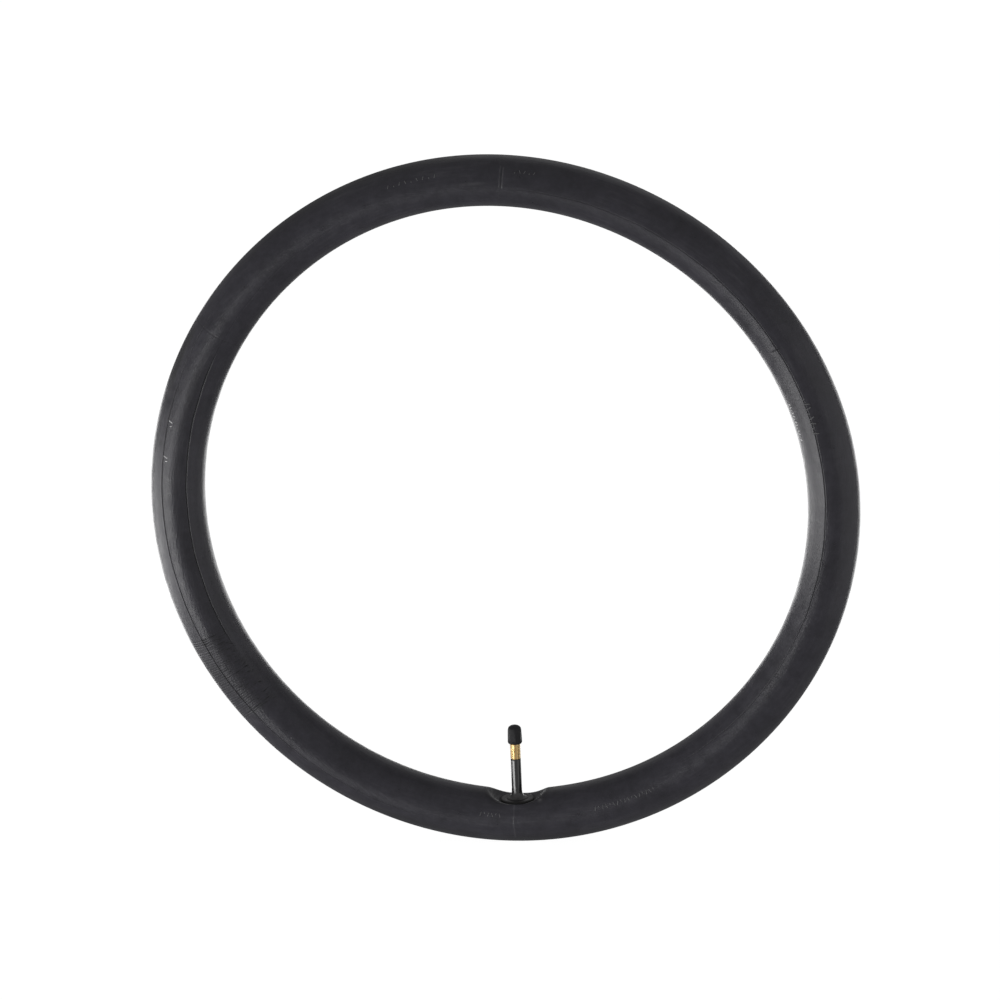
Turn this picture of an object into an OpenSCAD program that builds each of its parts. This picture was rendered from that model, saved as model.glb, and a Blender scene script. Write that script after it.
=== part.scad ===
// Bicycle inner tube with a long rubber-covered car-type valve, lightly inflated.
// Millimetres. The ring stands in the XZ plane about the wheel's axis, +Y, with the
// origin at the wheel's centre. The valve is at the bottom and points up, along +Z.

/* [Tube] */
// Radius of the ring, from the wheel's centre to the middle of the tube
ring_r = 245; // [225:1:300]
// Outside diameter of the tube's section when lightly inflated
tube_d = 38; // [36:0.5:48]
// Thickness of the butyl wall
tube_wall = 0.8; // [0.7:0.05:1.1]

/* [Valve seat] */
// Depth of the sunk seat below the tube's inner crest
seat_depth = 7.4; // [5:0.1:8]
// Radius of the flat floor of the seat
seat_r = 13.2; // [13:0.1:14]
// Radius of the dip where it meets the crest
dip_r = 28; // [24:1:32]
// Radius of the base patch
patch_r = 12.6; // [11:0.1:12.8]
// Thickness of the base patch
patch_t = 1.4; // [1:0.1:2]

/* [Stem] */
// Outside diameter of the rubber cover, for an 8.5 mm rim hole
cover_d = 7.9; // [7.8:0.05:8.1]
// Length of the rubber cover above the base patch
cover_len = 30.4; // [20:0.1:36]
// Radius of the fillet at the root of the cover
root_fillet = 5; // [3:0.1:6]
// Major diameter of the 8V1 outside thread
thread_d = 7.7; // [7.6:0.05:7.8]
// Length of the outside thread, cover to tip
thread_len = 23.35; // [18:0.05:28]
// Diameter of the brass inside the rubber cover
insert_d = 6.2; // [5.8:0.1:6.6]

/* [Cap] */
// Length of bare thread between the cover and the cap
bare_thread = 12; // [8:0.5:13]
// Width of the cap at its foot
cap_foot_d = 10.8; // [10.4:0.1:11.2]
// Width of the cap at its shoulder
cap_top_d = 10.1; // [9.8:0.1:10.4]
// Distance between opposite grip flats
cap_flats = 9.9; // [9.6:0.1:10]
// Thickness of the cap's top
cap_roof = 1.6; // [1.2:0.1:2]
// Thickness of the sealing washer inside the cap
washer_t = 1; // [0.8:0.1:1.2]

/* [Core] */
// Diameter of the core's inside thread
core_thread_d = 5.3; // [5.2:0.05:5.3]
// Travel of the pin when it is pressed
pin_travel = 1.5; // [1:0.1:1.8]
// Diameter of the pin
pin_d = 1; // [0.9:0.05:1.1]
// Diameter of the spring wire
wire_d = 0.26; // [0.2:0.02:0.28]
// Number of turns of the spring
spring_turns = 7; // [5:1:9]

/* [Hidden] */
$fn = 96;
tube_r = tube_d / 2;
crest_z = -(ring_r - tube_r);
seat_z = crest_z - seat_depth;
patch_z = seat_z + patch_t;
cover_r = cover_d / 2;
cover_top_z = patch_z + cover_len;
thread_r = thread_d / 2;
tip_z = cover_top_z + thread_len;
insert_r = insert_d / 2;
// The brass flange at the stem's foot, the stem's air bore and the hole through patch and tube
flange_r = 5;
flange_t = 1;
air_r = 1.25;
hole_r = 1.6;

washer_gap = 0.05;
thread_gap = 0.08;
cap_foot_z = cover_top_z + bare_thread;
cap_ceiling_z = tip_z + washer_gap + washer_t;
cap_top_z = cap_ceiling_z + cap_roof;
cap_bore_r = thread_r + thread_gap;

core_r = core_thread_d / 2;
chamber_r = 2;
bore_r = 1.15;
barrel_neck_r = 1.5;
barrel_foot_r = 1.6;
pin_r = pin_d / 2;
pin_gap = 0.02;
// Depths below the stem's tip
pin_top = 0.2;
plug_top = pin_top + pin_travel + 0.1;
plug_neck = 4;
plug_end = 6.5;
collar_top = 4.2;
collar_end = 4.6;
gasket_top = 8.3;
gasket_end = 10.6;
flange_end = 11.2;
ledge = 11.4;
barrel_end = 13.6;
seal_end = 14.4;
cup_end = 15.4;
pin_end = 15.9;
cone_top = 8.25;
cone_end = 10.75;
chamber_end = 20;

// A solid turned about the valve's axis from an outline of [radius, depth below the tip]
module turned_below_tip(outline) {
    translate([0, 0, tip_z])
        rotate_extrude()
            polygon([for (p = outline) [p[0], -p[1]]]);
}

// A ring about the valve's axis between two depths below the tip
module ring_below_tip(outer_r, inner_r, top, end) {
    turned_below_tip([[inner_r, top], [outer_r, top], [outer_r, end], [inner_r, end]]);
}

// The tube's outside form with the sunk valve seat, grown outwards by an amount
module tube_form(grow) {
    crest_rise = 2;
    spare = 2.5;
    slope = (dip_r - seat_r) / (seat_depth + crest_rise);
    height = seat_depth + crest_rise + spare;
    difference() {
        rotate([90, 0, 0])
            rotate_extrude($fn = 240)
                translate([ring_r, 0])
                    circle(r = tube_r + grow);
        translate([0, 0, seat_z + grow])
            cylinder(r1 = seat_r, r2 = seat_r + slope * height, h = height);
    }
}

module tube_body() {
    color([0.13, 0.13, 0.14])
        difference() {
            tube_form(0);
            tube_form(-tube_wall);
            translate([0, 0, seat_z - 2 * tube_wall])
                cylinder(r = hole_r, h = 4 * tube_wall);
        }
}

module base_patch() {
    bevel = 0.7;
    color([0.09, 0.09, 0.1])
        translate([0, 0, seat_z])
            rotate_extrude()
                polygon([
                    [hole_r, 0], [patch_r, 0], [patch_r, patch_t - bevel],
                    [patch_r - bevel, patch_t], [hole_r, patch_t]
                ]);
}

module stem_cover() {
    edge = 0.25;
    lip_w = 0.4;
    lip_h = 0.8;
    centre_r = cover_r + root_fillet;
    start = asin((root_fillet - edge) / root_fillet);
    steps = 12;
    color([0.07, 0.07, 0.08])
        translate([0, 0, patch_z])
            rotate_extrude()
                polygon(concat(
                    [[flange_r, 0], [centre_r - root_fillet * cos(start), 0]],
                    [for (i = [0:steps])
                        let (a = start * (1 - i / steps))
                        [centre_r - root_fillet * cos(a), root_fillet * (1 - sin(a))]],
                    [[cover_r, cover_len - lip_h], [cover_r - lip_w, cover_len],
                     [insert_r, cover_len], [insert_r, flange_t], [flange_r, flange_t]]
                ));
}

module valve_stem() {
    chamfer = 0.5;
    mouth_w = 0.3;
    mouth_h = 0.4;
    taper = 1.5;
    deep = tip_z - patch_z;
    color([0.8, 0.62, 0.25])
        turned_below_tip([
            [core_r + mouth_w, 0], [thread_r - chamfer, 0], [thread_r, chamfer],
            [thread_r, thread_len], [insert_r, thread_len], [insert_r, deep - flange_t],
            [flange_r, deep - flange_t], [flange_r, deep], [air_r, deep],
            [air_r, chamber_end + taper], [chamber_r, chamber_end],
            [chamber_r, cone_end], [core_r, cone_top], [core_r, mouth_h]
        ]);
}

// The threaded head, with a slim bridge of two flats that the core tool turns
module core_plug() {
    thread_play = 0.05;
    bridge_w = 2.3;
    bridge_bore_r = pin_r + 0.2;
    color([0.78, 0.6, 0.28]) {
        ring_below_tip(core_r - thread_play, bore_r, plug_neck, plug_end);
        intersection() {
            ring_below_tip(chamber_r, bridge_bore_r, plug_top, plug_neck);
            translate([-bridge_w / 2, -chamber_r, tip_z - plug_neck])
                cube([bridge_w, 2 * chamber_r, plug_neck - plug_top]);
        }
    }
}

module core_barrel() {
    head_r = 2.2;
    lock_r = 1.85;
    ledge_bore_r = 0.75;
    color([0.76, 0.58, 0.27])
        turned_below_tip([
            [bore_r, plug_end], [head_r, plug_end], [head_r, gasket_top],
            [barrel_neck_r, gasket_top], [barrel_neck_r, gasket_end], [lock_r, gasket_end],
            [lock_r, flange_end], [barrel_foot_r, flange_end], [barrel_foot_r, barrel_end],
            [ledge_bore_r, barrel_end], [ledge_bore_r, ledge], [bore_r, ledge]
        ]);
}

// Radius of the seat cone in the stem at a depth below the tip
function cone_r(depth) = core_r - (core_r - chamber_r) * (depth - cone_top) / (cone_end - cone_top);

module core_gasket() {
    gap = 0.03;
    color([0.9, 0.88, 0.82])
        turned_below_tip([
            [barrel_neck_r, gasket_top], [cone_r(gasket_top) - gap, gasket_top],
            [cone_r(gasket_end) - gap, gasket_end], [barrel_neck_r, gasket_end]
        ]);
}

// A coil spring about the valve's axis, as a swept wire with closed ends
module core_spring() {
    sides = 8;
    steps = 16;
    coil_r = 0.9;
    wire_r = wire_d / 2;
    section_r = 0.98 * wire_r;
    top = tip_z - collar_end - wire_r;
    bottom = tip_z - ledge + wire_r;
    last = spring_turns * steps;
    points = [for (i = [0:last]) for (k = [0:sides - 1])
        let (turn = 360 * i / steps, around = 360 * k / sides,
             r = coil_r + section_r * cos(around),
             z = bottom + (top - bottom) * i / last + section_r * sin(around))
        [r * cos(turn), r * sin(turn), z]];
    walls = [for (i = [0:last - 1]) for (k = [0:sides - 1])
        let (a = i * sides + k, b = i * sides + (k + 1) % sides)
        [a, a + sides, b + sides, b]];
    first_end = [for (k = [0:sides - 1]) k];
    last_end = [for (k = [sides - 1:-1:0]) last * sides + k];
    color([0.72, 0.73, 0.75])
        polyhedron(points = points, faces = concat(walls, [first_end, last_end]), convexity = 10);
}

module core_pin() {
    tip_chamfer = 0.2;
    collar_r = 0.95;
    color([0.8, 0.62, 0.3])
        turned_below_tip([
            [0, pin_top], [pin_r - tip_chamfer, pin_top], [pin_r, pin_top + tip_chamfer],
            [pin_r, collar_top], [collar_r, collar_top], [collar_r, collar_end], [pin_r, collar_end],
            [pin_r, pin_end - tip_chamfer], [pin_r - tip_chamfer, pin_end], [0, pin_end]
        ]);
}

module core_cup() {
    cup_r = 1.8;
    wall = 0.15;
    rim = 13.9;
    color([0.76, 0.58, 0.27])
        turned_below_tip([
            [cup_r - wall, rim], [cup_r, rim], [cup_r, cup_end], [pin_r + pin_gap, cup_end],
            [pin_r + pin_gap, seal_end], [cup_r - wall, seal_end]
        ]);
}

module core_cup_seal() {
    seal_r = 1.63;
    color([0.12, 0.12, 0.12])
        ring_below_tip(seal_r, pin_r + pin_gap, barrel_end + pin_gap, seal_end);
}

module cap_washer() {
    side_gap = 0.2;
    washer_bore_r = 1.6;
    color([0.16, 0.16, 0.17])
        ring_below_tip(cap_bore_r - side_gap, washer_bore_r, -washer_gap - washer_t, -washer_gap);
}

module dust_cap() {
    spare = 1;
    sides = 8;
    turned_by = 15;
    height = cap_top_z - cap_foot_z;
    base_r = cap_foot_d / 2;
    shoulder_r = cap_top_d / 2;
    foot_bevel_w = 0.8;
    foot_bevel_h = 1.1;
    foot_ring_h = 1.7;
    corner_r = cap_flats / 2 / cos(180 / sides);
    color([0.1, 0.1, 0.11])
        translate([0, 0, cap_foot_z])
            difference() {
                intersection() {
                    rotate_extrude()
                        polygon([
                            [0, 0], [base_r - foot_bevel_w, 0], [base_r, foot_bevel_h], [base_r, 2.6],
                            // the shoulder and the domed top, inwards and down from the largest size
                            [shoulder_r, height - 2.4], [shoulder_r - 0.45, height - 1.5],
                            [shoulder_r - 1.3, height - 0.7], [shoulder_r - 2.7, height - 0.15],
                            [0, height]
                        ]);
                    union() {
                        rotate([0, 0, turned_by])
                            cylinder(r = corner_r, h = height + spare, $fn = sides);
                        cylinder(r = base_r + spare, h = foot_ring_h);
                    }
                }
                translate([0, 0, -spare])
                    cylinder(r = cap_bore_r, h = cap_ceiling_z - cap_foot_z + spare);
            }
}

tube_body();
base_patch();
stem_cover();
valve_stem();
core_plug();
core_barrel();
core_gasket();
core_spring();
core_pin();
core_cup();
core_cup_seal();
cap_washer();
dust_cap();
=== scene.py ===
"""Looks for the bicycle inner tube: the rubber ring, its rubber-covered valve and the dust cap.

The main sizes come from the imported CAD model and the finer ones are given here, all in metres and
in the model's own frame: the ring stands in the XZ plane about +Y, and the valve points up from
the bottom of the ring along +Z.
"""

import functools
import math

import bmesh
import bpy
import numpy as np
from mathutils import Matrix, Vector


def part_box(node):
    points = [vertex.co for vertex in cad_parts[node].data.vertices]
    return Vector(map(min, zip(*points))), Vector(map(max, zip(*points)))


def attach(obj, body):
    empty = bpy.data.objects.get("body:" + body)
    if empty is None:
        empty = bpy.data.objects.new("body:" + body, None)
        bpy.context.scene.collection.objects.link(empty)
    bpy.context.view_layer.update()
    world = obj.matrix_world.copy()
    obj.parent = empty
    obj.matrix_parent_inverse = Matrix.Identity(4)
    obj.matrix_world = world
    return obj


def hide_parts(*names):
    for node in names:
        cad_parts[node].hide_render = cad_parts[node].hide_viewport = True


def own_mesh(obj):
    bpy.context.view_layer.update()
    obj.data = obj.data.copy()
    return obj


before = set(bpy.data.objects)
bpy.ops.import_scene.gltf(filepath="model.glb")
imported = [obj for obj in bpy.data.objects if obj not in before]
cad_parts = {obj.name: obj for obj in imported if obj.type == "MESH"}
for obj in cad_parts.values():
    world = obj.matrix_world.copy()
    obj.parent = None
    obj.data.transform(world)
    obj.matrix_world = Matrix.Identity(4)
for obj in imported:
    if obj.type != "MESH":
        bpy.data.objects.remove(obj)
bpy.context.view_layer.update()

MM = 0.001
TAU = 2 * math.pi


# ---------------------------------------------------------------- sizes from the CAD nodes
def size(node):
    low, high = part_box(node)
    return np.array(low), np.array(high)


tube_low, tube_high = size("tube_body")
TUBE_R = tube_high[1]
RING_R = tube_high[0] - TUBE_R
patch_low, patch_high = size("base_patch")
SEAT_Z, PATCH_Z, PATCH_R = patch_low[2], patch_high[2], patch_high[0]
COVER_TOP = size("stem_cover")[1][2]
COVER_R = 3.95 * MM
TIP_Z = size("valve_stem")[1][2]
THREAD_R = 3.85 * MM
PITCH = 25.4 / 32 * MM  # 32 turns to the inch
cap_low, cap_high = size("dust_cap")
CAP_Z, CAP_TOP = cap_low[2], cap_high[2]
CAP_BORE = 3.93 * MM
CAP_CEILING = size("cap_washer")[1][2]


# ---------------------------------------------------------------- the camera's direction
VIEW_AZ, VIEW_EL, VIEW_ROLL = math.radians(9.5), math.radians(17.0), math.radians(-2.4)
TO_CAMERA = Vector(
    (
        math.sin(VIEW_AZ) * math.cos(VIEW_EL),
        -math.cos(VIEW_AZ) * math.cos(VIEW_EL),
        math.sin(VIEW_EL),
    )
)
level = (-TO_CAMERA).cross(Vector((0, 0, 1))).normalized()
above = level.cross(-TO_CAMERA).normalized()
ACROSS = level * math.cos(VIEW_ROLL) + above * math.sin(VIEW_ROLL)
UPWARDS = above * math.cos(VIEW_ROLL) - level * math.sin(VIEW_ROLL)


# ---------------------------------------------------------------- small helpers
def smooth(x, low, high):
    t = np.clip((x - low) / (high - low), 0, 1)
    return t * t * (3 - 2 * t)


def turn_from(angle, centre):
    """Angle from centre, wrapped to -180..180 degrees."""
    return (angle - centre + 180) % 360 - 180


def band(angle, start, end, fade):
    """1 between start and end degrees, counted upwards, with soft ends."""
    middle, half = (start + end) / 2, (end - start) / 2
    return 1 - smooth(np.abs(turn_from(angle, middle)), half - fade, half + fade)


def stations(low, high, base, zones, scale):
    """Positions from low to high, in degrees, spaced base metres apart and closer in each zone."""
    fine = np.linspace(low, high, 20001)
    step = np.full_like(fine, base)
    for centre, half, near in zones:
        w = 1 - smooth(np.abs(turn_from(fine, centre)), half, half * 1.25 + 0.8)
        step = np.minimum(step, base * (near / base) ** w)
    total = np.concatenate(
        [[0], np.cumsum(np.diff(fine) * math.radians(1) * scale / step[1:])]
    )
    count = int(math.ceil(total[-1]))
    return np.interp(np.linspace(0, total[-1], count + 1), total, fine)[:-1]


def new_object(name, verts, faces, body, replaced, mat, sharp=None):
    """A mesh that rides on a body and stands in for the replaced CAD nodes. Edges past sharp degrees
    stay sharp."""
    mesh = bpy.data.meshes.new(name)
    mesh.from_pydata([tuple(v) for v in verts], [], faces)
    mesh.update()
    ob = bpy.data.objects.new(name, mesh)
    bpy.context.scene.collection.objects.link(ob)
    mesh.polygons.foreach_set("use_smooth", [True] * len(mesh.polygons))
    if sharp is not None:
        mesh.set_sharp_from_angle(angle=math.radians(sharp))
    mesh.materials.append(mat)
    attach(ob, body)
    if replaced:
        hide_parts(*replaced)
    return ob


def grid_faces(rows, columns, wrap_rows=False, start=0):
    """Faces between rows of points, each row a closed loop. start is the first point's number."""
    faces = []
    for i in range(rows if wrap_rows else rows - 1):
        a, b = i * columns, ((i + 1) % rows) * columns
        for j in range(columns):
            k = (j + 1) % columns
            faces.append((start + a + j, start + a + k, start + b + k, start + b + j))
    return faces


def lathe(loops):
    """Verts and faces of a closed solid from rings of points, each with as many points as the rest.
    The last ring joins the first. A ring may be any shape."""
    points = np.concatenate(loops)
    return points, grid_faces(len(loops), len(loops[0]), wrap_rows=True)


def ring(radius, z, segments):
    a = np.linspace(0, TAU, segments, endpoint=False)
    r = np.broadcast_to(np.asarray(radius, float), a.shape)
    zz = np.broadcast_to(np.asarray(z, float), a.shape)
    return np.stack([r * np.cos(a), r * np.sin(a), zz], 1)


def rounded(points, steps):
    """An outline with its corners rounded. Each point is its distance from the axis, its height and
    the size of its corner."""
    out = []
    n = len(points)
    for i in range(n):
        p = np.array(points[i][:2], float)
        a = np.array(points[i - 1][:2], float) - p
        b = np.array(points[(i + 1) % n][:2], float) - p
        la, lb = np.linalg.norm(a), np.linalg.norm(b)
        cut = min(points[i][2], 0.45 * la, 0.45 * lb)
        if cut < 1e-6:
            out.append(p)
            continue
        start, end = p + a / la * cut, p + b / lb * cut
        for t in np.linspace(0, 1, steps + 1):
            out.append((1 - t) ** 2 * start + 2 * t * (1 - t) * p + t * t * end)
    return out


# ---------------------------------------------------------------- materials
class Tree:
    """The shader nodes of a material or the world. Most methods add a node and return its output,
    and take outputs or plain values alike."""

    def __init__(self, owner):
        owner.use_nodes = True
        self.owner = owner
        self.nodes = owner.node_tree.nodes
        self.links = owner.node_tree.links

    def put(self, socket, value):
        """Links an output to the socket, or sets the socket to a plain value."""
        if isinstance(value, bpy.types.NodeSocket):
            self.links.new(value, socket)
        elif socket.type == "RGBA":
            socket.default_value = (*value, 1)
        else:
            socket.default_value = value

    def shade(self, name, value):
        """Sets or links an input of the material's own shader."""
        self.put(self.nodes["Principled BSDF"].inputs[name], value)

    def add(self, kind, inputs, output=0, **settings):
        node = self.nodes.new(kind)
        for key, value in settings.items():
            setattr(node, key, value)
        for key, value in inputs.items():
            self.put(node.inputs[key], value)
        return node.outputs[output]

    def coordinates(self, output="Object"):
        return self.add("ShaderNodeTexCoord", {}, output)

    def attribute(self, name, output="Fac"):
        return self.add("ShaderNodeAttribute", {}, output, attribute_name=name)

    def axes(self, vector):
        """The outputs X, Y and Z of a vector."""
        node = self.nodes.new("ShaderNodeSeparateXYZ")
        self.put(node.inputs[0], vector)
        return node.outputs

    def stretched(self, vector, scale):
        return self.add("ShaderNodeMapping", {"Vector": vector, "Scale": scale}, "Vector")

    def noise(self, vector, scale, detail, rough):
        inputs = {"Vector": vector, "Scale": scale, "Detail": detail, "Roughness": rough}
        return self.add("ShaderNodeTexNoise", inputs, "Fac")

    def ramp(self, source, low, high, a=0.0, b=1.0):
        """source mapped from low..high to a..b."""
        inputs = {"Value": source, "From Min": low, "From Max": high, "To Min": a, "To Max": b}
        return self.add("ShaderNodeMapRange", inputs, "Result")

    def maths(self, operation, a, b=0.0):
        return self.add("ShaderNodeMath", {0: a, 1: b}, operation=operation)

    def total(self, *values):
        return functools.reduce(lambda a, b: self.maths("ADD", a, b), values)

    def product(self, *values):
        return functools.reduce(lambda a, b: self.maths("MULTIPLY", a, b), values)

    def mix(self, factor, a, b):
        """The colour a where factor is 0, and b where it is 1."""
        node = self.nodes.new("ShaderNodeMix")
        node.data_type = "RGBA"
        colours = {socket.name: socket for socket in node.inputs if socket.type == "RGBA"}
        self.put(colours["A"], a)
        self.put(colours["B"], b)
        self.put(node.inputs["Factor"], factor)
        return next(socket for socket in node.outputs if socket.type == "RGBA")

    def bump(self, height, distance, strength, before=None):
        """Roughens the shader's surface, on top of the bump before it."""
        inputs = {"Height": height, "Distance": distance, "Strength": strength}
        if before is not None:
            inputs["Normal"] = before
        normal = self.add("ShaderNodeBump", inputs, "Normal")
        self.shade("Normal", normal)
        return normal


def new_material(name):
    return Tree(bpy.data.materials.new(name))


def tinted(colour, by):
    """A colour with its three parts multiplied by one number, or by one each, and at most 1."""
    factors = by if isinstance(by, tuple) else (by, by, by)
    return tuple(min(1.0, part * factor) for part, factor in zip(colour, factors))


def butyl_material():
    """Extruded butyl: dark and a little violet. Talc is worked into it, and it is paler where painted light
    falls and darker with dirt and painted shade in its creases.
    """
    tree = new_material("butyl")
    tree.shade("Specular IOR Level", 0.45)
    place = tree.coordinates()
    dark, talc_and_painted_light = tree.attribute("dark"), tree.attribute("talc_and_painted_light")
    cloud = tree.noise(place, 30, 4, 0.6)
    blotch = tree.noise(place, 110, 4, 0.65)
    grain = tree.noise(place, 300, 3, 0.6)
    speck = tree.noise(place, 950, 2, 0.6)
    fine = tree.noise(place, 1500, 3, 0.6)
    lay = tree.stretched(tree.attribute("lay", "Vector"), (40, 420, 420))
    streak = tree.noise(lay, 1.0, 4, 0.6)
    slanted = tree.stretched(tree.attribute("slant", "Vector"), (80, 560, 560))
    slant = tree.noise(slanted, 1.0, 3, 0.6)

    tone = tree.total(
        tree.ramp(cloud, 0.32, 0.68, 0.0, 0.38),
        tree.ramp(blotch, 0.3, 0.7, 0.0, 0.36),
        tree.ramp(grain, 0.3, 0.7, 0.0, 0.26),
    )
    rubber = tree.mix(tone, (0.0150, 0.0140, 0.0192), (0.0375, 0.0352, 0.0470))
    # painted shade: the dark attribute mixes the rubber towards near black in creases, grooves and cracks,
    # along with dirt there, and on some outer edges and patches
    painted_shade_rubber = tree.mix(dark, rubber, (0.0030, 0.0030, 0.0040))
    patchy = tree.product(tree.ramp(cloud, 0.42, 0.70), tree.ramp(streak, 0.45, 0.75), 0.08)
    specks = tree.ramp(speck, 0.64, 0.80, 0.0, 0.07)
    # paler from the mesh's attribute: powder in some places, painted light and painted highlights in others
    talc_and_light_marks = tree.product(talc_and_painted_light, tree.ramp(blotch, 0.32, 0.66, 0.40, 1.15))
    pale_talc_and_light = tree.total(patchy, specks, talc_and_light_marks)
    tree.shade("Base Color", tree.mix(pale_talc_and_light, painted_shade_rubber, (0.30, 0.295, 0.30)))

    gloss = tree.ramp(blotch, 0.3, 0.7, 0.27, 0.39)
    rough = tree.total(gloss, tree.product(pale_talc_and_light, 0.5), tree.product(dark, 0.45))
    tree.shade("Roughness", rough)
    normal = tree.bump(slant, 0.26 * MM, 0.65)
    normal = tree.bump(streak, 0.22 * MM, 0.6, normal)
    normal = tree.bump(grain, 0.16 * MM, 0.6, normal)
    tree.bump(fine, 0.035 * MM, 0.8, normal)
    return tree.owner


def rubber_material(name, colour, roughness, level, grain, depth, dull_below=None, painted_rim_shade=None):
    """Moulded rubber. dull_below gives the heights between which it goes from dull to its own gloss, and
    the pair after it the distances from the valve's axis between which painted shade darkens it towards its
    edge."""
    tree = new_material(name)
    tree.shade("Specular IOR Level", level)
    place = tree.coordinates()
    mottle = tree.noise(place, 160, 4, 0.6)
    speck = tree.noise(place, 1400, 2, 0.6)
    base = tree.mix(tree.ramp(mottle, 0.3, 0.7), tinted(colour, 0.8), tinted(colour, 1.2))
    base = tree.mix(tree.ramp(speck, 0.64, 0.86, 0.0, 0.10), base, (0.2, 0.2, 0.2))
    rough = tree.ramp(mottle, 0.3, 0.7, roughness - 0.03, roughness + 0.05)
    axes = tree.axes(place)
    if dull_below:
        dull = tree.ramp(axes["Z"], *dull_below, 1.0, 0.0)
        rough = tree.total(rough, tree.product(dull, 0.42))
        base = tree.mix(dull, base, (0.024, 0.0215, 0.0225))
    # painted shade darkening the rubber towards the patch's edge
    if painted_rim_shade:
        squares = [tree.maths("POWER", axes[axis], 2.0) for axis in "XY"]
        from_axis = tree.maths("SQRT", tree.total(*squares))
        base = tree.mix(tree.ramp(from_axis, *painted_rim_shade), base, (0.006, 0.005, 0.005))
    tree.shade("Base Color", base)
    tree.shade("Roughness", rough)
    tree.bump(tree.noise(place, grain, 3, 0.6), depth, 0.6)
    return tree.owner


def brass_material(name, colour, roughness):
    """Turned brass: a little stained, with fine lines round the valve's axis."""
    tree = new_material(name)
    tree.shade("Metallic", 1.0)
    place = tree.coordinates()
    stain = tree.noise(place, 380, 4, 0.6)
    stained = tinted(colour, (0.88, 0.82, 0.70))
    tree.shade("Base Color", tree.mix(tree.ramp(stain, 0.35, 0.75), colour, stained))
    tree.shade("Roughness", tree.ramp(stain, 0.3, 0.75, roughness, roughness + 0.16))
    turned = tree.stretched(place, (200, 200, 5200))
    tree.bump(tree.noise(turned, 1, 2, 0.5), 0.012 * MM, 0.6)
    return tree.owner


def plain_material(name, colour, roughness, metallic, grain, depth, change=0.12, level=0.5):
    """One colour with a faint mottle. change is how far it goes lighter and darker."""
    tree = new_material(name)
    tree.shade("Metallic", metallic)
    tree.shade("Specular IOR Level", level)
    place = tree.coordinates()
    mottle = tree.noise(place, grain / 4, 4, 0.6)
    darker, lighter = tinted(colour, 1 - change), tinted(colour, 1 + change)
    tree.shade("Base Color", tree.mix(tree.ramp(mottle, 0.3, 0.7), darker, lighter))
    tree.shade("Roughness", tree.ramp(mottle, 0.3, 0.7, roughness - 0.05, roughness + 0.08))
    tree.bump(tree.noise(place, grain, 3, 0.6), depth, 0.5)
    return tree.owner


BUTYL = butyl_material()
MARKS = plain_material("raised_marks", (0.105, 0.104, 0.110), 0.50, 0.0, 900, 0.03 * MM)
PRINT = plain_material("white_print", (0.62, 0.62, 0.62), 0.6, 0.0, 900, 0.02 * MM, 0.2)
PATCH = rubber_material(
    "moulded_rubber",
    (0.0270, 0.0245, 0.0270),
    0.46,
    0.40,
    1500,
    0.03 * MM,
    # painted shade towards the patch's edge
    painted_rim_shade=(PATCH_R - 1.9 * MM, PATCH_R - 0.7 * MM),
)
STEM = rubber_material(
    "stem_rubber",
    (0.012, 0.012, 0.0122),
    0.17,
    1.0,
    900,
    0.006 * MM,
    dull_below=(PATCH_Z, PATCH_Z + 7 * MM),
)
BRASS = brass_material("brass", (0.95, 0.77, 0.46), 0.17)
CORE_BRASS = brass_material("core_brass", (0.80, 0.56, 0.24), 0.24)
CAP = plain_material(
    "cap_plastic", (0.0150, 0.0150, 0.0168), 0.56, 0.0, 1300, 0.03 * MM, 0.2, 0.32
)
PTFE = plain_material("ptfe", (0.80, 0.78, 0.72), 0.42, 0.0, 1200, 0.01 * MM, 0.05)
STEEL = plain_material("spring_steel", (0.60, 0.60, 0.62), 0.28, 1.0, 1600, 0.005 * MM)
SEAL = plain_material("seal_rubber", (0.018, 0.018, 0.019), 0.55, 0.0, 1500, 0.02 * MM)


# ---------------------------------------------------------------- the rubber ring
def drift(theta):
    """How far the tube is rolled about its own middle at each place round the ring, in degrees. Its
    crease lines follow this, so they wander round the tube."""
    t = np.radians(theta)
    return np.degrees(np.arctan2(0.158 * np.cos(t) + 0.292 * np.sin(t), 0.943))


def ring_radius(theta):
    """The distance from the ring's middle to the tube's, as the ring isn't quite round."""
    t = np.radians(theta)
    return RING_R + MM * (
        0.48 * np.cos(3 * t + math.radians(10)) + 0.44 * np.cos(4 * t - math.radians(21))
    )


def tube_radius(theta):
    """The tube's own radius, which is up to 1.2 mm more than in the CAD model, and most at the left."""
    t = np.radians(theta)
    return TUBE_R + MM * (
        0.58
        + 0.44 * np.cos(t + math.radians(143))
        + 0.20213 * np.cos(2 * t - math.radians(6.188))
    )


FOLD_A, FOLD_B, FOLD_C = 110.0, 55.0, 288.0  # degrees round the section
SPLICE = 88.2  # where the ends of the extruded tube are joined, across from the valve
RIB_START, RIB_END, RIB_STEP = 204.9, 219.9, 0.405
DEGREE_ALONG = math.radians(1) * RING_R  # metres along the ring for each degree
DEGREE_ROUND = math.radians(1) * TUBE_R  # metres round the section for each degree


def bell(x, width):
    """1 at x = 0, and near 0 past twice the width."""
    return np.exp(-((x / width) ** 2))


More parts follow.
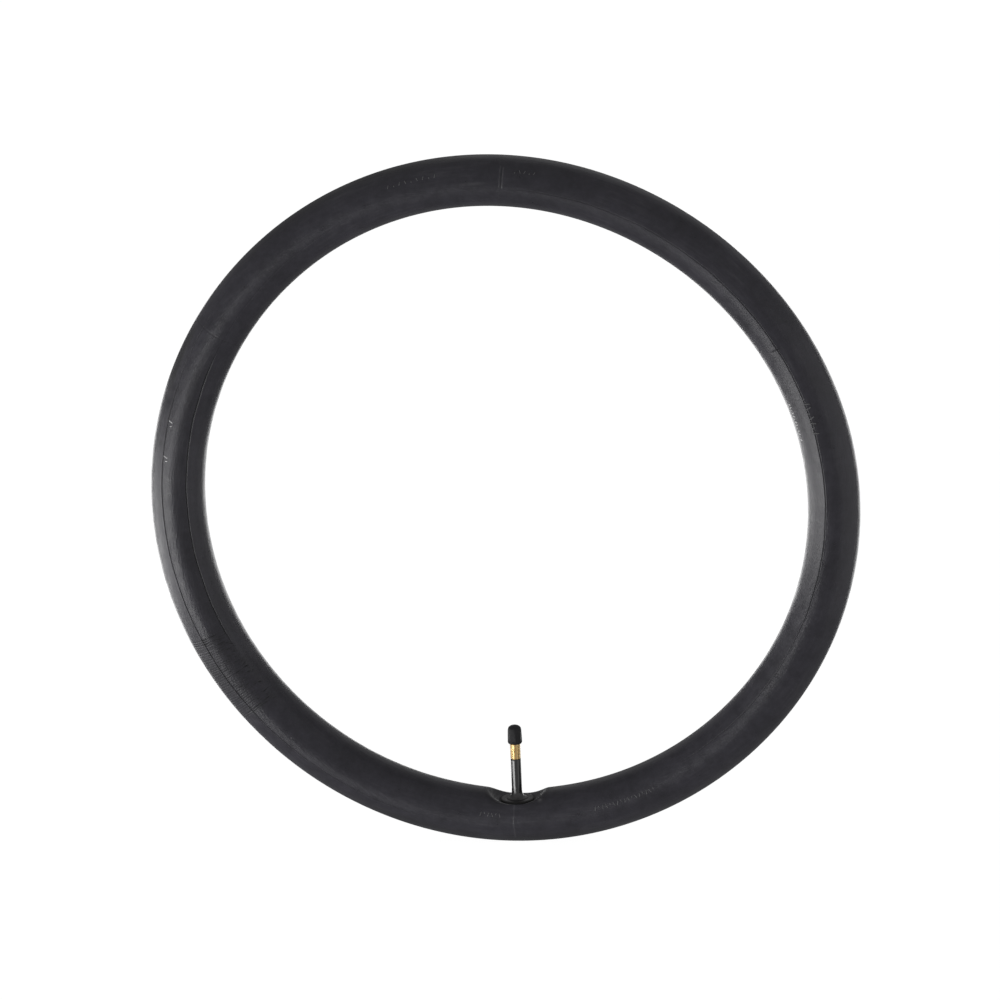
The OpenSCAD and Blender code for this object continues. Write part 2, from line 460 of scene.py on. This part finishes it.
class Skin:
    """What is added to the plain tube at each (theta, psi) in degrees: lift stands off it, a paler tone
    that is powder in some places and painted light in others, and dark, which is dirt and painted shade in
    creases and grooves, and painted shade alone elsewhere."""

    def __init__(self, theta, psi):
        self.theta, self.psi = np.broadcast_arrays(np.asarray(theta, float), np.asarray(psi, float))
        self.lift = np.zeros(self.theta.shape)
        self.talc_and_painted_light = np.zeros(self.theta.shape)
        self.dark = np.zeros(self.theta.shape)
        t = np.radians(self.theta)
        self.wander = MM * (0.12 * np.sin(t * 31) + 0.08 * np.sin(t * 53 + 1))

    def across(self, fold):
        """Metres round the section from a fold, counted towards the inside of the ring."""
        return turn_from(self.psi, fold) * DEGREE_ROUND

    def along(self, at):
        return turn_from(self.theta, at) * DEGREE_ALONG

    def between(self, low, high, fade=3.0):
        """1 where psi is between low and high, with soft ends."""
        psi = turn_from(self.psi, 90) + 90
        return smooth(psi, low - fade, low) * (1 - smooth(psi, high, high + fade))

    def crease(self, s, power, depth, width, shade):
        """A fine crease with a small lip on each side, its floor darkened with dirt and painted shade."""
        lip = bell(np.abs(s) - 2.0 * width, width)
        self.lift += power * depth * (0.30 * lip - bell(s, width))
        self.dark += power * shade * bell(s, 0.9 * width)

    def cross(self, at, low, high, height, width, talc_and_painted_light=0.0, dark=0.0):
        """A line across the tube, raised or sunk."""
        shape = bell(self.along(at), width) * self.between(low, high)
        self.lift += height * shape
        self.talc_and_painted_light += talc_and_painted_light * shape
        # a sunk line is darkened with dirt and painted shade
        self.dark += dark * shape


def inner_fold(skin):
    """The fold on the inner side: a ridge with a crease on the valve's right, and a raised line made pale
    with a painted highlight beside a crease on its left, with painted shade in a band beside the fold
    there. It fades out towards the top and the bottom."""
    theta = skin.theta
    s = skin.across(FOLD_A) + skin.wander
    right = band(theta, -24, 50, 9)
    right_faint = band(theta, -58, 84, 8)
    left = band(theta, 153, 207, 3)
    left_faint = band(theta, 118, 207, 6)
    skin.crease(s, 0.50 * right_faint + 0.50 * right, 0.30 * MM, 0.34 * MM, 0.85)
    skin.crease(s + 0.55 * MM, 0.22 * left_faint + 0.78 * left, 0.34 * MM, 0.34 * MM, 0.8)
    # the raised line is real, and its paleness is a painted highlight
    pale = bell(s - 0.20 * MM, 0.30 * MM) * left
    skin.lift += 0.16 * MM * pale
    skin.talc_and_painted_light += 0.16 * pale
    # painted shade in a band down the middle of the front, on the ring's left
    skin.dark += 0.28 * band(theta, 150, 210, 7) * skin.between(86, 106, 9)
    slope = np.where(s > 0, np.exp(-np.abs(s) / (3.6 * MM)), np.exp(-np.abs(s) / (9 * MM)))
    skin.lift += 0.45 * MM * band(theta, -42, 58, 18) * slope


def outer_fold(skin):
    """The crease on the outer side, from the top left down past the ribs."""
    s = skin.across(FOLD_B) + 0.6 * skin.wander
    power = band(skin.theta, 143, 254, 6) * (0.60 + 0.40 * band(skin.theta, 158, 222, 10))
    skin.crease(s, power, 0.32 * MM, 0.32 * MM, 0.85)
    skin.lift += 0.22 * MM * power * np.exp(-np.abs(s) / (3.0 * MM))


def back_fold(skin):
    """A crease along the back, like the one in front."""
    s = skin.across(FOLD_C) + skin.wander
    skin.crease(s, 0.35 + 0.65 * band(skin.theta, 20, 150, 20), 0.26 * MM, 0.40 * MM, 0.6)


def ribs(skin):
    """The stretch of fine creases across the outer side, where the tube was folded, darkened with dirt and
    painted shade.
    """
    rng = np.random.default_rng(11)
    count = int(round((RIB_END - RIB_START) / RIB_STEP))
    for n in range(count + 1):
        at = RIB_START + n * RIB_STEP + rng.uniform(-0.05, 0.05)
        depth = rng.uniform(0.07, 0.15) * MM
        shade = rng.uniform(0.38, 0.80)
        if n in (0, 2, count - 1):
            depth, shade = 0.26 * MM, 1.0
        reach = rng.uniform(66, 92) + (24 if rng.uniform() < 0.16 else 0)
        where = skin.between(-46, reach, 9)
        broken = np.clip(0.70 + 0.45 * np.sin(np.radians(skin.psi) * rng.uniform(9, 15) + n), 0, 1)
        bend = 0.10 * MM * np.sin(np.radians(skin.psi) * rng.uniform(4, 8) + 2 * n)
        line = bell(skin.along(at) + bend, 0.34 * MM) * where * broken
        skin.lift -= depth * line
        skin.dark += shade * line
    # short cracks further in, between the ribs and the inner fold, darkened with dirt and painted shade
    for n in range(150):
        at = rng.uniform(RIB_START - 0.8, RIB_END + 0.6)
        psi = 68 + 44 * rng.uniform() ** 0.8
        angle = rng.uniform(-1.0, 1.0)
        length = rng.uniform(0.7, 1.9) * MM
        x, y = skin.along(at), skin.across(psi)
        u = x * math.sin(angle) + y * math.cos(angle)
        v = x * math.cos(angle) - y * math.sin(angle)
        crack = bell(v, 0.30 * MM) * np.exp(-((u / length) ** 4)) * rng.uniform(0.4, 1.0)
        skin.lift -= 0.11 * MM * crack
        skin.dark += 0.60 * crack
    # painted shade: the whole rib zone is darkened a little
    painted_rib_zone_shade = band(skin.theta, RIB_START - 0.6, RIB_END + 0.6, 0.8) * skin.between(-46, 84, 12)
    skin.dark += 0.12 * painted_rib_zone_shade


def cross_lines(skin):
    """The splice, with its two pale lines, the mould's line under the valve and smaller ones. The sunk
    lines are darkened with dirt and painted shade.
    """
    skin.cross(SPLICE - 0.75, 61, 107, 0.18 * MM, 0.40 * MM, talc_and_painted_light=0.15)
    skin.cross(SPLICE - 0.48, 66, 107, -0.12 * MM, 0.30 * MM, dark=0.6)
    skin.cross(SPLICE - 0.22, 58, 104, 0.16 * MM, 0.40 * MM, talc_and_painted_light=0.12)
    skin.cross(SPLICE, -160, 52, 0.05 * MM, 0.6 * MM, talc_and_painted_light=0.02)
    skin.cross(148.0, 20, 160, -0.06 * MM, 0.45 * MM, dark=0.35)
    skin.cross(30.1, 104, 123, -0.22 * MM, 0.55 * MM, dark=0.6)
    skin.cross(270.0, 30, 134, 0.10 * MM, 0.50 * MM, talc_and_painted_light=0.09)


def paint_talc_and_light(skin):
    """Talc left on, with painted light and painted shade: a pale streak at the top, painted light on the
    flanks that face the key lamp, pale patches of powder with a painted highlight, and painted shade on a
    patch of the outer side and on the outer edges at the top and the bottom.
    """
    along = turn_from(skin.theta, 92.0)
    streak = turn_from(skin.psi, 97.5 + 0.25 * along)
    skin.talc_and_painted_light += 0.30 * bell(streak, 1.3) * np.exp(-((along / 2.6) ** 4))
    # painted light: paler on the outer flank at the left and the inner flank at the right, which face the
    # key lamp
    skin.talc_and_painted_light += 0.035 * band(skin.theta, 150, 212, 14) * skin.between(-20, 48, 16)
    skin.talc_and_painted_light += 0.05 * band(skin.theta, -34, 36, 16) * skin.between(120, 190, 14)
    # pale patches on the inner side at the right: powder with a painted highlight
    skin.talc_and_painted_light += 0.07 * band(skin.theta, 350.3, 368, 0.6) * skin.between(113, 178, 5)
    skin.talc_and_painted_light += 0.06 * band(skin.theta, 18.5, 25.5, 1.0) * skin.between(112, 160, 6)
    spot = np.hypot(0.7 * skin.along(274.7), (skin.psi - 124) * DEGREE_ROUND)
    skin.talc_and_painted_light += 0.40 * bell(spot, 1.2 * MM)
    # painted shade on a patch of the outer side, and on the outer edges at the top and the bottom
    painted_patch_shade = band(skin.theta, 149.5, 160, 2.5) * skin.between(-10, 38, 6)
    painted_edge_shade = band(skin.theta, 98, 136, 10) + band(skin.theta, 236, 286, 12)
    skin.dark += 0.75 * painted_patch_shade + 0.40 * painted_edge_shade * skin.between(-50, 32, 16)


def skin_at(theta, psi):
    skin = Skin(theta, psi)
    for feature in (inner_fold, outer_fold, back_fold, ribs, cross_lines, paint_talc_and_light):
        feature(skin)
    return skin


def tube_skin():
    theta = stations(
        SPLICE,
        SPLICE + 360,
        2.9 * MM,
        [
            ((RIB_START + RIB_END) / 2, (RIB_END - RIB_START) / 2 + 0.5, 0.30 * MM),
            (270, 8.5, 0.85 * MM),
            (270, 0.35, 0.24 * MM),
            (SPLICE - 0.5, 0.75, 0.24 * MM),
            (30.1, 0.35, 0.3 * MM),
            (148.0, 0.30, 0.3 * MM),
        ],
        RING_R,
    )
    psi = stations(
        0,
        360,
        1.75 * MM,
        [
            (FOLD_A - 0.5, 4.0, 0.20 * MM),
            (FOLD_B, 2.6, 0.20 * MM),
            (FOLD_C, 3.2, 0.30 * MM),
            (180, 62, 1.30 * MM),
        ],
        TUBE_R,
    )
    T, P = np.meshgrid(theta, psi, indexing="ij")
    extra = skin_at(T, P)
    phi = np.radians(P - drift(T))
    t = np.radians(T)
    radius = tube_radius(T) + extra.lift
    middle = ring_radius(T)
    beside = np.abs(turn_from(T, 270)) * DEGREE_ALONG
    # the tube is drawn in a little on each side of the valve
    drawn_in = 1.0 * MM * np.exp(-((beside / (19.5 * MM)) ** 1.9)) / TUBE_R
    inward = np.cos(phi) < 0
    out = middle + radius * np.cos(phi) * np.where(inward, 1 - drawn_in, 1)
    x, y, z = out * np.cos(t), -radius * np.sin(phi), out * np.sin(t)

    # the sunk valve seat: the rubber dips to a flat floor under the base patch
    d = np.hypot(x, y)
    near = inward & (beside < 60 * MM)
    sideways = (x / np.maximum(d, MM)) ** 2
    reach = MM * (4.6 + 7.0 * sideways)
    seat = np.where(near, 1 - smooth(d, PATCH_R - 0.3 * MM, PATCH_R + reach), 0)
    z = z * (1 - seat) + SEAT_Z * seat
    # painted shadow in a thin ring round the patch's edge, and painted shade on the sides of the dip
    extra.dark += near * 0.75 * bell(d - PATCH_R - 0.5 * MM, 0.9 * MM)
    extra.dark += near * 0.60 * sideways * bell(d - PATCH_R - 6.5 * MM, 5.0 * MM)

    verts = np.stack([x, y, z], -1).reshape(-1, 3)
    faces = grid_faces(len(theta), len(psi), wrap_rows=True)
    ob = new_object("tube_skin", verts, faces, "tube", ["tube_body"], BUTYL)
    mesh = ob.data
    twisted = np.radians(P + 2.7 * T)
    for name, turned in (("lay", np.radians(P)), ("slant", twisted)):
        lay = np.stack([t * RING_R, np.cos(turned) * TUBE_R, np.sin(turned) * TUBE_R], -1)
        a = mesh.attributes.new(name, "FLOAT_VECTOR", "POINT")
        a.data.foreach_set("vector", lay.reshape(-1).astype(np.float32))
    for name, values in (("talc_and_painted_light", extra.talc_and_painted_light), ("dark", extra.dark)):
        a = mesh.attributes.new(name, "FLOAT", "POINT")
        a.data.foreach_set("value", np.clip(values, 0, 1).reshape(-1).astype(np.float32))
    return ob


skin = tube_skin()


# ---------------------------------------------------------------- raised marks on the ring
def on_tube(theta, psi, up=0.0):
    """A point on the tube, lifted off it, with the directions along the ring, round the section and
    outwards."""
    t = math.radians(theta)
    phi = math.radians(psi - float(drift(np.array(theta))))
    n = np.array([math.cos(t), 0, math.sin(t)])
    along = np.array([-math.sin(t), 0, math.cos(t)])
    away = math.cos(phi) * n + math.sin(phi) * np.array([0, -1.0, 0])
    across = -math.sin(phi) * n + math.cos(phi) * np.array([0, -1.0, 0])
    r = float(tube_radius(np.array(theta))) + float(skin_at(theta, psi).lift) + up
    place = float(ring_radius(np.array(theta))) * n + r * away
    return place, along, across, away


def bar(theta, psi, length, width, height, lean):
    """A small moulded bar with sloping sides and a rounded top. lean turns it from across the tube."""
    place, along, across, away = on_tube(theta, psi)
    a = math.radians(lean)
    u = math.cos(a) * across + math.sin(a) * along
    v = -math.sin(a) * across + math.cos(a) * along
    verts, rings = [], []
    steps = 10
    for level, (grow, up) in enumerate(
        ((1.0, -0.15 * MM), (1.0, 0.0), (0.82, 0.65 * height), (0.5, height))
    ):
        loop = []
        for i in range(steps):
            q = TAU * i / steps
            du = 0.5 * (length - width) * (1 if math.cos(q) > 0 else -1)
            du += 0.5 * width * grow * math.cos(q)
            dv = 0.5 * width * grow * math.sin(q)
            loop.append(place + du * u + dv * v + up * away)
        rings.append(loop)
    for loop in rings:
        verts += loop
    faces = grid_faces(len(rings), steps)
    faces.append(tuple(range(steps))[::-1])
    faces.append(tuple(range((len(rings) - 1) * steps, len(rings) * steps)))
    return verts, faces


def marks(name, bars, mat):
    verts, faces = [], []
    for b in bars:
        v, f = bar(*b)
        faces += [tuple(i + len(verts) for i in face) for face in f]
        verts += v
    return new_object(name, verts, faces, "tube", [], mat)


def row_of_bars(start, end, psi, count, length, width, height, seed):
    """A plain row of moulded bars of two lengths, with no lettering."""
    rng = np.random.default_rng(seed)
    out = []
    for i in range(count):
        theta = start + (end - start) * (i + 0.5) / count
        tall = i % 3 != 1
        out.append(
            (
                theta,
                psi + (0 if tall else 2.4),
                length * (1.0 if tall else 0.5),
                width,
                height,
                18 * (-1) ** i + rng.uniform(-4, 4),
            )
        )
    return out


raised = []
raised += row_of_bars(284.4, 296.2, 84.5, 17, 3.4 * MM, 0.62 * MM, 0.26 * MM, 1)
raised += row_of_bars(263.7, 267.8, 87.5, 6, 3.2 * MM, 0.62 * MM, 0.24 * MM, 2)
raised += row_of_bars(98.4, 107.5, 72.5, 9, 2.8 * MM, 0.6 * MM, 0.2 * MM, 3)
raised += row_of_bars(81.9, 85.9, 69.0, 5, 2.6 * MM, 0.6 * MM, 0.2 * MM, 4)
raised += row_of_bars(13.4, 20.6, 107.5, 8, 5.4 * MM, 1.0 * MM, 0.34 * MM, 7)
moulded_marks = marks("moulded_marks", raised, MARKS)

printed = row_of_bars(12.4, 20.0, 154.0, 13, 2.6 * MM, 0.9 * MM, 0.05 * MM, 8)
printed += row_of_bars(171.4, 172.8, 60.5, 2, 3.6 * MM, 0.7 * MM, 0.1 * MM, 5)
printed += row_of_bars(165.1, 166.6, 61.0, 2, 3.4 * MM, 0.7 * MM, 0.1 * MM, 6)
printed_marks = marks("printed_marks", printed, PRINT)


# ---------------------------------------------------------------- the valve
def moulded_patch():
    """The round patch, from a little under the tube's seat up to its flat top."""
    height = PATCH_Z - SEAT_Z
    under = SEAT_Z - 0.2 * MM
    hole = 1.6 * MM
    outline = rounded(
        [
            (hole, under, 0),
            (PATCH_R, under, 0),
            (PATCH_R - 0.05 * MM, SEAT_Z + 0.45 * height, 0.3 * MM),
            (PATCH_R - 0.9 * MM, PATCH_Z, 0.5 * MM),
            (hole, PATCH_Z + 0.02 * MM, 0),
        ],
        5,
    )
    verts, faces = lathe([ring(r, z, 96) for r, z in outline])
    return new_object(
        "patch_skin", verts, faces, "tube", ["base_patch"], PATCH
    )


patch_skin = moulded_patch()


def stem_outline():
    """The rubber cover's outline: a flared root, a straight side, a rounded top and the inside."""
    fillet = 5.0 * MM
    centre = COVER_R + fillet
    out = [(5.0 * MM, PATCH_Z - 0.1 * MM)]
    for a in np.linspace(76, 0, 16):
        q = math.radians(a)
        out.append((centre - fillet * math.cos(q), PATCH_Z + fillet * (1 - math.sin(q))))
    shoulder = 0.9 * MM
    straight = np.linspace(PATCH_Z + fillet, COVER_TOP - shoulder, 12)[1:]
    out += [(COVER_R, z) for z in straight]
    for t in np.linspace(0, 1, 6)[1:]:
        q = t * math.pi / 2
        r = COVER_R - 0.45 * MM * (1 - math.cos(q))
        out.append((r, COVER_TOP - shoulder * (1 - math.sin(q))))
    inside = 3.1 * MM
    out += [(inside, COVER_TOP), (inside, PATCH_Z + 1 * MM), (5.0 * MM, PATCH_Z + 1 * MM)]
    return out


def stem_skin():
    segments = 96
    a = np.linspace(0, TAU, segments, endpoint=False)
    loops = []
    for r, z in stem_outline():
        loop = ring(r, z, segments)
        if abs(r - COVER_R) < 0.6 * MM and z < COVER_TOP - 0.3 * MM:
            # two fine parting lines left by the mould
            for at in (100, 280):
                off = (a - math.radians(at) + math.pi) % TAU - math.pi
                grow = 0.05 * MM * np.exp(-((off / 0.045) ** 2))
                loop[:, 0] += grow * np.cos(a)
                loop[:, 1] += grow * np.sin(a)
        loops.append(loop)
    verts, faces = lathe(loops)
    return new_object("stem_skin", verts, faces, "tube", ["stem_cover"], STEM)


stem = stem_skin()


def thread_shape(phase):
    """0 at a thread's root and 1 at its crest, for a place in turns along it."""
    crest = 1 - np.abs(2 * (phase % 1.0) - 1)
    return smooth(crest, 0.16, 0.86)


def threaded(low, high, minor, major, pitch, segments, per_turn, fade):
    """Rings of points up a screw thread, which fades out over a length at each end."""
    a = np.linspace(0, TAU, segments, endpoint=False)
    rows = int(round((high - low) / pitch * per_turn))
    loops = []
    for i in range(rows + 1):
        z = low + (high - low) * i / rows
        form = thread_shape((z - low) / pitch - a / TAU)
        ends = float(smooth(z, low, low + fade) * (1 - smooth(z, high - fade, high)))
        loops.append(ring(minor + (major - minor) * form * ends, z, segments))
    return loops


def brass_stem():
    """The brass left uncovered: up its outside thread, over the tip, down the core's thread and the bore.
    """
    n = 72
    root, mouth = 3.37 * MM, 2.66 * MM
    core_crest, core_pitch = 2.48 * MM, 0.7056 * MM
    throat, bore, hidden = 2.0 * MM, 1.25 * MM, 3.05 * MM
    start = COVER_TOP - 0.6 * MM
    loops = [ring(hidden, start, n), ring(3.35 * MM, COVER_TOP - 0.05 * MM, n)]
    loops += threaded(
        COVER_TOP + 0.05 * MM, TIP_Z - 0.35 * MM, root, THREAD_R, PITCH, n, 9, 0.5 * MM
    )
    loops += [
        ring(3.25 * MM, TIP_Z - 0.08 * MM, n),
        ring(3.12 * MM, TIP_Z, n),
        ring(2.98 * MM, TIP_Z, n),
        ring(2.85 * MM, TIP_Z - 0.08 * MM, n),
        ring(mouth, TIP_Z - 0.4 * MM, n),
    ]
    loops += threaded(
        TIP_Z - 7.6 * MM, TIP_Z - 0.5 * MM, mouth, core_crest, core_pitch, n, 7, 0.4 * MM
    )[::-1]
    loops += [
        ring(2.65 * MM, TIP_Z - 8.25 * MM, n),
        ring(throat, TIP_Z - 10.75 * MM, n),
        ring(throat, TIP_Z - 20 * MM, n),
        ring(bore, TIP_Z - 21.5 * MM, n),
        ring(bore, start - 4 * MM, n),
        ring(hidden, start - 4 * MM, n),
    ]
    verts, faces = lathe(loops)
    return new_object("brass_stem", verts, faces, "tube", ["valve_stem"], BRASS, 50)


brass = brass_stem()


# ---------------------------------------------------------------- the dust cap
def cap_skin():
    """The cap: a foot ring, eight grip flats and a domed top, with a thread inside."""
    n = 144
    a = np.linspace(0, TAU, n, endpoint=False)
    flats = 9.9 / 2 * MM
    turned = (a - math.radians(15)) % (TAU / 8) - TAU / 16
    eight = flats / np.cos(turned)
    height = CAP_TOP - CAP_Z
    base = (cap_high[0] - cap_low[0]) / 2
    top = 5.05 * MM
    knots = np.array(
        [
            (0.00, base - 0.62 * MM),
            (0.35 * MM, base - 0.34 * MM),
            (0.85 * MM, base - 0.08 * MM),
            (1.35 * MM, base),
            (2.6 * MM, base),
            (height - 4.8 * MM, top + 0.07 * MM),
            (height - 3.0 * MM, top - 0.05 * MM),
            (height - 2.1 * MM, top - 0.32 * MM),
            (height - 1.4 * MM, top - 0.80 * MM),
            (height - 0.80 * MM, top - 1.55 * MM),
            (height - 0.36 * MM, top - 2.45 * MM),
            (height - 0.10 * MM, top - 3.55 * MM),
            (height, 0.25 * MM),
        ]
    )
    zs = np.unique(
        np.concatenate(
            [
                np.linspace(0, 3.0 * MM, 13),
                np.linspace(3.0 * MM, height - 2.6 * MM, 9),
                height - 2.6 * MM * (np.linspace(1, 0, 17) ** 1.6),
            ]
        )
    )
    soft = 0.07 * MM
    loops = []
    for z in zs:
        c = float(np.interp(z, knots[:, 0], knots[:, 1]))
        grip = float(smooth(z, 1.55 * MM, 2.1 * MM))
        pinch = -soft * np.log(np.exp(-c / soft) + np.exp(-eight / soft)) + soft * 0.3
        r = np.minimum(c, (1 - grip) * c + grip * pinch)
        loops.append(ring(r, CAP_Z + z, n))
    # down inside: the roof, the bore with its thread, and the mouth
    roof = CAP_CEILING + 0.02 * MM
    inner = [ring(0.25 * MM, roof, n), ring(CAP_BORE - 0.2 * MM, roof, n)]
    inner += threaded(
        CAP_Z + 1.0 * MM, roof - 1.2 * MM, CAP_BORE + 0.02 * MM, CAP_BORE - 0.16 * MM, PITCH, n, 5, 0.5 * MM
    )[::-1]
    inner += [ring(CAP_BORE + 0.12 * MM, CAP_Z + 0.35 * MM, n), ring(CAP_BORE + 0.4 * MM, CAP_Z, n)]
    count = len(loops)
    points = np.concatenate(loops + inner)
    faces = grid_faces(count, n)
    faces += grid_faces(len(inner), n, start=count * n)
    faces.append(tuple((count - 1) * n + i for i in range(n)))
    faces.append(tuple(count * n + i for i in range(n))[::-1])
    last = (count + len(inner) - 1) * n
    for i in range(n):
        k = (i + 1) % n
        faces.append((last + i, last + k, k, i))
    return new_object("cap_skin", points, faces, "cap", ["dust_cap"], CAP, 35)


cap = cap_skin()


# ---------------------------------------------------------------- the core's spring
def spring_coil():
    """The coil spring at its rest length; the real one shortens towards its lower end as the pin is
    pressed.
    """
    low, high = size("core_spring")
    wire, turns, steps, sides = 0.127 * MM, 7, 24, 10
    coil = high[0] - wire
    bottom, top = low[2] + wire, high[2] - wire
    around = np.linspace(0, TAU, sides, endpoint=False)
    verts = []
    for i in range(turns * steps + 1):
        turn = TAU * i / steps
        r = coil + wire * np.cos(around)
        z = bottom + (top - bottom) * i / (turns * steps) + wire * np.sin(around)
        verts += [(a * math.cos(turn), a * math.sin(turn), b) for a, b in zip(r, z)]
    faces = grid_faces(turns * steps + 1, sides)
    faces.append(tuple(range(sides))[::-1])
    faces.append(tuple(range(len(verts) - sides, len(verts))))
    ob = new_object("spring_coil", verts, faces, "tube", ["core_spring"], STEEL)
    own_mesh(ob)


# ---------------------------------------------------------------- closed meshes face outwards
for ob in (skin, moulded_marks, printed_marks, patch_skin, stem, brass, cap):
    bm = bmesh.new()
    bm.from_mesh(ob.data)
    bmesh.ops.recalc_face_normals(bm, faces=bm.faces)
    bm.to_mesh(ob.data)
    bm.free()
spring_coil()


# ---------------------------------------------------------------- the CAD nodes' materials
for name, mat in (
    ("core_plug", CORE_BRASS),
    ("core_barrel", CORE_BRASS),
    ("core_gasket", PTFE),
    ("core_spring", STEEL),
    ("core_pin", CORE_BRASS),
    ("core_cup", CORE_BRASS),
    ("core_cup_seal", SEAL),
    ("cap_washer", SEAL),
    ("tube_body", BUTYL),
    ("base_patch", PATCH),
    ("stem_cover", STEM),
    ("valve_stem", BRASS),
    ("dust_cap", CAP),
):
    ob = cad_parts[name]
    for s in ob.material_slots:
        s.material = mat
    if not ob.material_slots:
        ob.data.materials.append(mat)


# ---------------------------------------------------------------- floor, light and camera
def flat_sheet(name, half, z, mat):
    mesh = bpy.data.meshes.new(name)
    mesh.from_pydata(
        [(-half, -half, z), (half, -half, z), (half, half, z), (-half, half, z)], [], [(0, 1, 2, 3)]
    )
    ob = bpy.data.objects.new(name, mesh)
    bpy.context.scene.collection.objects.link(ob)
    mesh.materials.append(mat)
    return ob


floor_tree = new_material("floor")
floor_tree.shade("Base Color", (0.12, 0.12, 0.12))
floor_tree.shade("Roughness", 0.9)
floor_tree.shade("Specular IOR Level", 0.1)
floor_tree.shade("Emission Color", (1.0, 1.0, 1.0))
floor_tree.shade("Emission Strength", 0.98)
floor = flat_sheet("floor", 30, tube_low[2], floor_tree.owner)
# the floor is a plain backdrop: the lamps light the object from below as well as above
floor.visible_glossy = floor.visible_diffuse = floor.visible_shadow = False

# the room is white to the eye, and dim to the object: darker behind it, but for its upper part
world = bpy.data.worlds.new("studio")
bpy.context.scene.world = world
sky = Tree(world)
background = sky.nodes["Background"].inputs
sky.put(background["Color"], (1.0, 1.0, 1.0))
seen = sky.add("ShaderNodeLightPath", {}, "Is Camera Ray")
axes = sky.axes(sky.coordinates("Generated"))
dim = sky.ramp(axes["Y"], -0.2, 0.8, 0.36, 0.20)
high = sky.product(sky.ramp(axes["Z"], 0.10, 0.40, 0.0, 0.28), sky.ramp(axes["Y"], 0.35, 0.90))
sky.put(background["Strength"], sky.maths("MAXIMUM", sky.total(dim, high), seen))


def softbox(name, az, el, distance, spread, radiance):
    """A lamp az degrees to the right of straight ahead, seen from the ring's middle, and el degrees
    up. It is spread degrees across and up."""
    a, e = math.radians(az), math.radians(el)
    way = Vector((math.sin(a) * math.cos(e), -math.cos(a) * math.cos(e), math.sin(e)))
    data = bpy.data.lights.new(name, "AREA")
    data.shape = "RECTANGLE"
    data.size, data.size_y = (2 * distance * math.tan(math.radians(angle / 2)) for angle in spread)
    data.energy = radiance * math.pi * data.size * data.size_y
    ob = bpy.data.objects.new(name, data)
    bpy.context.scene.collection.objects.link(ob)
    ob.location = way * distance
    ob.rotation_euler = way.to_track_quat("Z", "Y").to_euler()
    ob.visible_camera = False


# the camera looks down a little, so lamps that shine in upright sides of the tube stand low
softbox("key", -44, -20, 3.0, (36, 20), 5.2)
softbox("side", -94, -20, 3.0, (46, 22), 3.2)
softbox("rear", -146, -18, 3.0, (28, 24), 2.8)
softbox("back", 166, -14, 3.0, (40, 26), 2.0)
softbox("fill", 84, -6, 3.0, (80, 60), 0.34)

camera_distance = 60 * RING_R
field_width = 0.7395  # what the picture takes in at the ring, in metres
camera_data = bpy.data.cameras.new("camera")
camera_data.sensor_width = 36
camera_data.lens = camera_data.sensor_width * camera_distance / field_width
camera_data.clip_end = 200
camera = bpy.data.objects.new("camera", camera_data)
bpy.context.scene.collection.objects.link(camera)
turn = Matrix((ACROSS, UPWARDS, TO_CAMERA)).transposed().to_4x4()
# the ring lies a little to the right of the picture's middle and above it
stand = TO_CAMERA * camera_distance - ACROSS * 3.55 * MM - UPWARDS * 0.8 * MM
camera.matrix_world = Matrix.Translation(stand) @ turn
bpy.context.scene.camera = camera
bpy.context.scene.view_settings.view_transform = "Standard"
